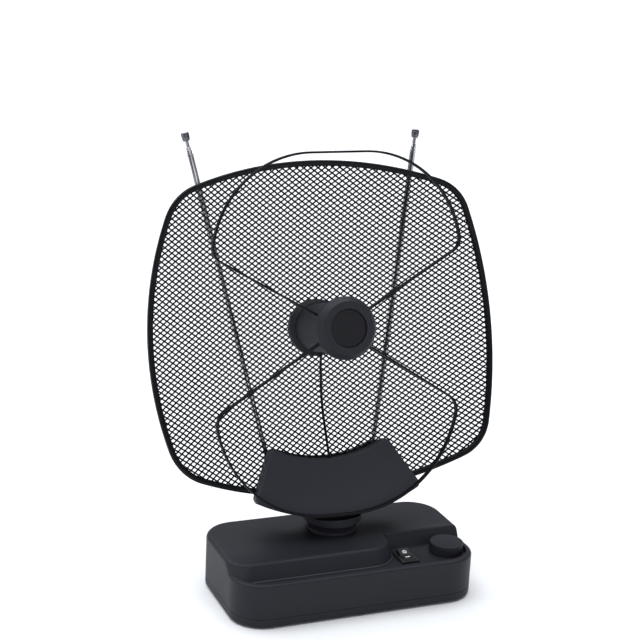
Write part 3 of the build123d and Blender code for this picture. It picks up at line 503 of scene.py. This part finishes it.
def rim_depth(u, v):
    """Distance inside the rim's outer edge: the least over its bowed sides.

    Between the two lines from a corner's centre square to its sides, the depth is the
    corner's radius less the distance from that centre.
    """
    u = np.abs(u)
    side = (RIM_HALF_W - RIM_SIDE_R, RIM_SIDE_V, RIM_SIDE_R)
    tops = {end: (0.0, end * (RIM_HALF_H - RIM_TOP_R), RIM_TOP_R) for end in (1, -1)}
    depth = side[2] - np.hypot(u - side[0], v - side[1])
    for top in tops.values():
        depth = np.minimum(depth, top[2] - np.hypot(u - top[0], v - top[1]))
    for end, top in tops.items():
        centre = crossing(
            (side[0], side[1], side[2] - RIM_CORNER_R), (top[0], top[1], top[2] - RIM_CORNER_R))
        to_side = centre - side[:2]
        to_top = centre - top[:2]
        x, y = u - centre[0], v - centre[1]
        past_top = end * (to_top[0] * y - to_top[1] * x)
        past_side = end * (to_side[0] * y - to_side[1] * x)
        corner = (past_side > 0) & (past_top < 0) & (end * y > -RIM_HALF_H / 2)
        depth = np.where(corner, RIM_CORNER_R - np.hypot(x, y), depth)
    return depth


def mesh_strands(name, sign):
    """One family of mesh strands: lines over the lattice of diamonds, laid on the dish.

    Crossing (p, q) lies at u = (p + q) W / 2, v = sign (p - q) H / 2. A strand keeps q and
    runs through p in half steps; its six-sided section swells at the crossings.
    """
    half = int(LATTICE_SPARE * RIM_HALF_W / CELL_H)
    p = np.arange(-2 * half, 2 * half + 1) / 2
    q = np.arange(-half, half + 1)
    q, p = np.meshgrid(q, p, indexing="ij")
    u = (p + q) * CELL_W / 2
    v = sign * (p - q) * CELL_H / 2
    near = np.hypot(u, v) < MESH_REACH
    inside = (rim_depth(u, v) > RIM_W) & near
    u = np.where(near, u, 0.0)
    v = np.where(near, v, 0.0)
    swell = np.where(p % 1 == 0, KNUCKLE, 1.0)
    way = np.array((CELL_W, sign * CELL_H)) / np.hypot(CELL_W, CELL_H)
    turn = np.arange(STRAND_SIDES) * 2 * np.pi / STRAND_SIDES
    aside = STRAND_W / 2 * np.cos(turn) * swell[..., None]
    lift = STRAND_T / 2 * np.sin(turn) + 0 * aside
    points = on_dish(u[..., None] - way[1] * aside, v[..., None] + way[0] * aside, lift)
    rows, columns = inside.shape
    segment = inside[:, :-1] | inside[:, 1:]
    segment = np.concatenate([segment, np.zeros((rows, 1), bool)], 1).reshape(-1)
    keep = np.repeat(segment[:-1, None], STRAND_SIDES, 1)
    return surface(name, points.reshape(rows * columns, STRAND_SIDES, 3), False, True, keep)


def turned(name, origin, axis, profile, sides=TURNED_SIDES):
    """Surface of revolution: a closed profile of (radius, height) turned about an axis."""
    axis = axis / np.linalg.norm(axis)
    first = np.cross(axis, EU)
    first /= np.linalg.norm(first)
    second = np.cross(axis, first)
    turn = np.arange(sides) * 2 * np.pi / sides
    ring = np.cos(turn)[:, None] * first + np.sin(turn)[:, None] * second
    radius, height = np.array(profile, float).T
    points = origin + radius[None, :, None] * ring[:, None, :] + height[None, :, None] * axis
    return surface(name, points, True, True)


def rod_collars(name):
    """Rolled lip at the end of each tube: a rounded ring just outside the tube's wall."""
    pivot, way = rod_line(name)
    half = COLLAR_LEN / 2
    arc = np.linspace(0, np.pi, COLLAR_ROWS)
    bodies = (f"{name}_rod", f"{name}_stage_2", f"{name}_stage_3")
    for number, (step, radius, body) in enumerate(zip(TUBE_STEPS, TUBE_R, bodies), 1):
        bulge = np.stack([radius + COLLAR_PROUD * np.sin(arc), -half * np.cos(arc)], 1)
        inner = np.array([(radius - COLLAR_PROUD, half), (radius - COLLAR_PROUD, -half)])
        ring = turned(
            f"{name}_collar_{number}", pivot + way * (ROD_REACH - step - half), way,
            np.concatenate([bulge, inner]))
        finished(ring, body, TUBE_PAINTED_REFLECTION[name])


def tip_barrel(name):
    """Barrel round the tip's taper: its radius falls from the widest ring as a quarter ellipse."""
    pivot, way = rod_line(name)
    fall = np.linspace(0.0, 1.0, TIP_ROWS)
    radius = TIP_FOOT_R + (TIP_R - TIP_FOOT_R) * np.sqrt(1 - fall**2)
    depth = TIP_WIDEST + (TIP_LEN - TIP_WIDEST) * fall
    outside = np.stack([radius, -depth], 1)
    inside = np.array([(TIP_FOOT_R / 2, -TIP_LEN), (TIP_FOOT_R / 2, -TIP_WIDEST)])
    piece = turned(
        f"{name}_tip_barrel", pivot + way * ROD_REACH, way, np.concatenate([outside, inside]))
    finished(piece, f"{name}_stage_4", TIP_CHROME[name])


def rocker_point(across, along, lift):
    """Point on the rocker's hollow top: height grows from its middle to both ends."""
    pivot = np.array(JOINTS["rocker_tilt"]["pos_m"], float)
    back = np.array((0.0, np.cos(ROCKER_TILT), np.sin(ROCKER_TILT)))
    up = np.array((0.0, -np.sin(ROCKER_TILT), np.cos(ROCKER_TILT)))
    height = ROCKER_MID_H + np.abs(along) * ROCKER_SLOPE + lift
    return pivot + across[..., None] * EU + along[..., None] * back + height[..., None] * up


def rocker_marks():
    """Ring on the back half and bar on the front half: thin closed bands on the top."""
    lift = np.array((0.0, 1.0, 1.0, 0.0)) * MARK_T
    turn = np.linspace(0, 2 * np.pi, RING_SIDES, endpoint=False)[:, None]
    radius = np.array((RING_IN_R, RING_IN_R, RING_OUT_R, RING_OUT_R))
    ring = rocker_point(radius * np.cos(turn), MARK_AT + radius * np.sin(turn), lift + 0 * turn)
    finished(surface("mark_ring", ring, True, True), "rocker", INK)
    along = -MARK_AT + np.array((-BAR_HALF_W, -BAR_HALF_W, BAR_HALF_W, BAR_HALF_W))
    across = np.linspace(-BAR_HALF_LEN, BAR_HALF_LEN, BAR_ROWS)[:, None]
    bar = rocker_point(across + 0 * along, along + 0 * across, lift + 0 * across)
    finished(surface("mark_bar", bar, False, True), "rocker", INK)


def foot_bead():
    """Round bead along the deck's foot, coloured lighter than the base as a painted highlight line: a circle
    carried along a line and a quarter turn.

    Its radius goes to nothing over the taper at both ends, as a quarter ellipse does.
    """
    straight = FOOT_NOSE_X - FOOT_LEFT_X
    whole = straight + FOOT_NOSE_R * np.pi / 2
    run = np.linspace(0.0, whole, BEAD_ROWS)
    turn = np.clip(run - straight, 0.0, None) / FOOT_NOSE_R
    path_x = FOOT_LEFT_X + np.minimum(run, straight) + FOOT_NOSE_R * np.sin(turn)
    path_y = FOOT_FRONT_Y + FOOT_NOSE_R * (1 - np.cos(turn))
    ends = np.clip(np.minimum(run, whole - run) / BEAD_TAPER, 0.0, 1.0)
    radius = BEAD_R * np.sqrt(ends * (2 - ends))
    around = np.arange(BEAD_SIDES) * 2 * np.pi / BEAD_SIDES
    out = radius[:, None] * np.cos(around)
    height = radius[:, None] * np.sin(around)
    points = np.stack([
        path_x[:, None] + out * np.sin(turn)[:, None],
        path_y[:, None] - out * np.cos(turn)[:, None],
        FOOT_Z + height,
    ], -1)
    finished(welded(surface("foot_bead", points, False, True)), "base", BEAD_HIGHLIGHT_PAINT)


def neck_sleeve():
    """Sleeve round the neck: its radius grows as a power of the distance below and above its waist."""
    height = np.linspace(0.0, 1.0, SLEEVE_ROWS)
    below = np.clip(SLEEVE_WAIST - height, 0.0, None) / SLEEVE_WAIST
    above = np.clip(height - SLEEVE_WAIST, 0.0, None) / (1 - SLEEVE_WAIST)
    radius = (
        SLEEVE_WAIST_R
        + (SLEEVE_FOOT_R - SLEEVE_WAIST_R) * below**2
        + (SLEEVE_TOP_R - SLEEVE_WAIST_R) * above**SLEEVE_FLARE
    )
    level = SLEEVE_LOW + (SLEEVE_HIGH - SLEEVE_LOW) * height
    outside = np.stack([radius, level], 1)
    inside = np.stack([radius - SLEEVE_T, level], 1)[::-1]
    axis = np.array((0.0, 0.0, 1.0))
    foot = np.array(JOINTS["turret_swivel"]["pos_m"], float)
    foot[2] = DECK_Z
    piece = turned("neck_sleeve", foot, axis, np.concatenate([outside, inside]), SLEEVE_SIDES)
    finished(piece, "turret", BLACK)


def reach(node, axis):
    """How far a node's mesh goes along an axis."""
    mesh = NODES[node].data
    points = np.empty(3 * len(mesh.vertices))
    mesh.vertices.foreach_get("co", points)
    return (points.reshape(-1, 3) @ axis).max()


def shaded_cross_drive(name, body, node, place, axis, arm):
    """Painted shade of the cross drive in a screw's head: a thin dark cross of twelve corners between two middles,
    laid on it.
    """
    across = np.cross(axis, EU)
    web = RECESS_WEB * arm
    corners = np.array([
        (arm, -web), (arm, web), (web, web), (web, arm), (-web, arm), (-web, web),
        (-arm, web), (-arm, -web), (-web, -web), (-web, -arm), (web, -arm), (web, -web)])
    spread = np.array((0.0, 1.0, 1.0, 0.0))
    height = np.array((0.0, 0.0, 1.0, 1.0)) * RECESS_T
    flat = corners[:, None, :] * spread[None, :, None]
    on_head = place + (reach(node, axis) - place @ axis) * axis
    points = on_head + flat[..., :1] * EU + flat[..., 1:] * across + height[None, :, None] * axis
    piece = welded(surface(name, points, True, False))
    piece.data.polygons.foreach_set("use_smooth", np.zeros(len(piece.data.polygons), bool))
    finished(piece, body, DRIVE_PAINTED_SHADE)


def screw_drives():
    """Painted shade of the cross drives of every screw head that shows, under the base and behind the screen."""
    down = np.array((0.0, 0.0, -1.0))
    for number, (x, y) in enumerate(((-1, -1), (1, -1), (-1, 1), (1, 1)), 1):
        place = np.array((x * BASE_SCREW_X, y * BASE_SCREW_Y, 0.0))
        shaded_cross_drive(f"base_drive_{number}", "base", "base_screws", place, down, BASE_DRIVE)
    for name, side in zip(SIDES, (-1, 1)):
        place = DISH_O + side * COVER_SCREW_U * EU + COVER_SCREW_V * EV
        shaded_cross_drive(f"{name}_cover_drive", "turret", "cover_screws", place, -EN, COVER_DRIVE)
        pivot = rod_line(name)[0]
        shaded_cross_drive(f"{name}_pivot_drive", "turret", "rod_pivot_screws", pivot, -EN, PIVOT_DRIVE)
    shaded_cross_drive("hub_drive", "turret", "hub_screw", DISH_O, -EN, HUB_DRIVE)


# Finishes of the solids
BLACK = moulded_plastic(
    "moulded_black", rgb(0.0138, 0.0141, 0.0189), rgb(0.019, 0.0194, 0.0257), 0.48, SPARK_GRAIN)
COVER_BLACK = moulded_plastic(
    "cover_black", rgb(0.023, 0.0235, 0.03), rgb(0.03, 0.0305, 0.039), 0.5, SPARK_GRAIN)
# Bead plastic lighter than the base black: a painted highlight line along the deck's foot
BEAD_HIGHLIGHT_PAINT = moulded_plastic(
    "bead_painted_highlight", rgb(0.03, 0.0305, 0.038), rgb(0.04, 0.0405, 0.05), 0.3, SPARK_GRAIN)
KNOB = moulded_plastic(
    "knob_black", rgb(0.0165, 0.0168, 0.0225), rgb(0.0215, 0.022, 0.029), 0.5, FINE_GRAIN)
DISC_BLACK = moulded_plastic(
    "disc_black", rgb(0.005, 0.005, 0.007), rgb(0.008, 0.008, 0.011), 0.34, FINE_GRAIN)
GLOSS = switch_gloss()
WIRE = dipped_wire("dipped_wire", 0.3)
SHEATH = dipped_wire("lead_sheath", 0.42)
CHROME = polished_chrome()
TUBE_PAINTED_REFLECTION = {name: painted_streak_chrome(name) for name in SIDES}
TIP_CHROME = {name: tipped_chrome(name) for name in SIDES}
ZINC = plated_steel("zinc_plate", rgb(0.36, 0.36, 0.37), rgb(0.55, 0.55, 0.56), 0.25)
BARE_STEEL = plated_steel("rolled_steel", rgb(0.22, 0.21, 0.2), rgb(0.4, 0.39, 0.38), 0.4)
NICKEL = nickel_thread()
RUBBER = foot_rubber()
BOARD = lacquered_board()
INK = mark_ink()
# Dark colour of the thin crosses laid on the screw heads: painted shade of their drives
DRIVE_PAINTED_SHADE = drive_shadow()

FINISH_OF_SLOT = {
    "black_plastic": BLACK,
    "knob_plastic": KNOB,
    "switch_plastic": GLOSS,
    "rubber": RUBBER,
    "coated_wire": WIRE,
    "lead_sheath": SHEATH,
    "chrome": CHROME,
    "steel": ZINC,
    "brass": NICKEL,
    "board": BOARD,
}
FINISH_OF_NODE = {
    "ballast_plate": BARE_STEEL,
    "hub_disc": DISC_BLACK,
    "front_cover": COVER_BLACK,
}
for name in SIDES:
    FINISH_OF_NODE[f"{name}_rod_tip"] = TIP_CHROME[name]
    for number in (1, 2, 3):
        FINISH_OF_NODE[f"{name}_rod_tube_{number}"] = TUBE_PAINTED_REFLECTION[name]
for part in frame["record"]["subparts"]:
    finish = FINISH_OF_NODE.get(part["node"], FINISH_OF_SLOT[part["material_slot"]])
    materials = NODES[part["node"]].data.materials
    materials.clear()
    materials.append(finish)

# New pieces
rising = finished(mesh_strands("mesh_rising", 1), "turret", WIRE)
finished(mesh_strands("mesh_falling", -1), "turret", WIRE)
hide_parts("reflector_screen")
for name in SIDES:
    rod_collars(name)
    tip_barrel(name)
rocker_marks()
foot_bead()
neck_sleeve()
screw_drives()


# Stage, light and camera

def stage_floor():
    """Wide flat floor just under the feet."""
    ends = np.array((-FLOOR_HALF, FLOOR_HALF))
    x, y = np.meshgrid(ends, ends)
    points = np.stack([x, y, 0 * x - FLOOR_DROP], -1)
    floor = surface("stage_floor", points, False, False)
    floor.data.materials.append(pale_floor())


def area_light(name, place, aim, width, height, power):
    """Soft rectangular light at a place, facing a point."""
    data = bpy.data.lights.new(name, "AREA")
    data.shape = "RECTANGLE"
    data.size = width
    data.size_y = height
    data.energy = power
    data.color = COOL_LIGHT
    lamp = bpy.data.objects.new(name, data)
    lamp.location = place
    lamp.rotation_euler = (Vector(aim) - Vector(place)).to_track_quat("-Z", "Y").to_euler()
    bpy.context.scene.collection.objects.link(lamp)


def sky_light(place, breadth, power):
    """Broad parallel light from a side of the sky towards the origin, its breadth in degrees."""
    data = bpy.data.lights.new("sky_light", "SUN")
    data.angle = np.radians(breadth)
    data.energy = power
    data.color = COOL_LIGHT
    lamp = bpy.data.objects.new("sky_light", data)
    lamp.rotation_euler = (-Vector(place)).to_track_quat("-Z", "Y").to_euler()
    bpy.context.scene.collection.objects.link(lamp)


def studio():
    """Dim even surroundings, broad light from above and soft lights from the left and the front."""
    world = bpy.data.worlds.new("studio")
    world.use_nodes = True
    backdrop = world.node_tree.nodes["Background"]
    backdrop.inputs["Color"].default_value = rgb(*COOL_LIGHT)
    backdrop.inputs["Strength"].default_value = SURROUND
    bpy.context.scene.world = world
    sky_light(place=(-0.1, 0.25, 1.0), breadth=80.0, power=3.9)
    area_light(
        "left_side", place=(-1.8, 0.2, 0.7), aim=(0.0, 0.0, 0.1), width=1.0, height=1.0, power=5.0)
    area_light(
        "front_screen", place=(0.6, -2.4, 0.6), aim=(0.0, 0.0, 0.2), width=4.0, height=1.2, power=12.0)


def photograph_camera():
    """Camera from azimuth, elevation and roll about a target, with its focal length in pixels."""
    azimuth, elevation, roll = VIEW_AZIMUTH, VIEW_ELEVATION, VIEW_ROLL
    back = np.array((
        np.sin(azimuth) * np.cos(elevation), -np.cos(azimuth) * np.cos(elevation), np.sin(elevation)))
    right = np.array((np.cos(azimuth), np.sin(azimuth), 0.0))
    up = np.cross(back, right)
    right, up = (
        np.cos(roll) * right + np.sin(roll) * up,
        np.cos(roll) * up - np.sin(roll) * right,
    )
    data = bpy.data.cameras.new("photograph")
    data.sensor_width = SENSOR
    data.lens = SENSOR * FOCAL_PIXELS / FRAME_PIXELS
    data.clip_end = CLIP_END
    camera = bpy.data.objects.new("photograph", data)
    place = VIEW_TARGET + back * VIEW_DISTANCE
    camera.matrix_world = Matrix([
        (*row, at) for row, at in zip(np.stack([right, up, back], 1).tolist(), place.tolist())
    ] + [(0.0, 0.0, 0.0, 1.0)])
    bpy.context.scene.collection.objects.link(camera)
    bpy.context.scene.camera = camera


stage_floor()
studio()
photograph_camera()
bpy.context.scene.view_settings.view_transform = "Standard"
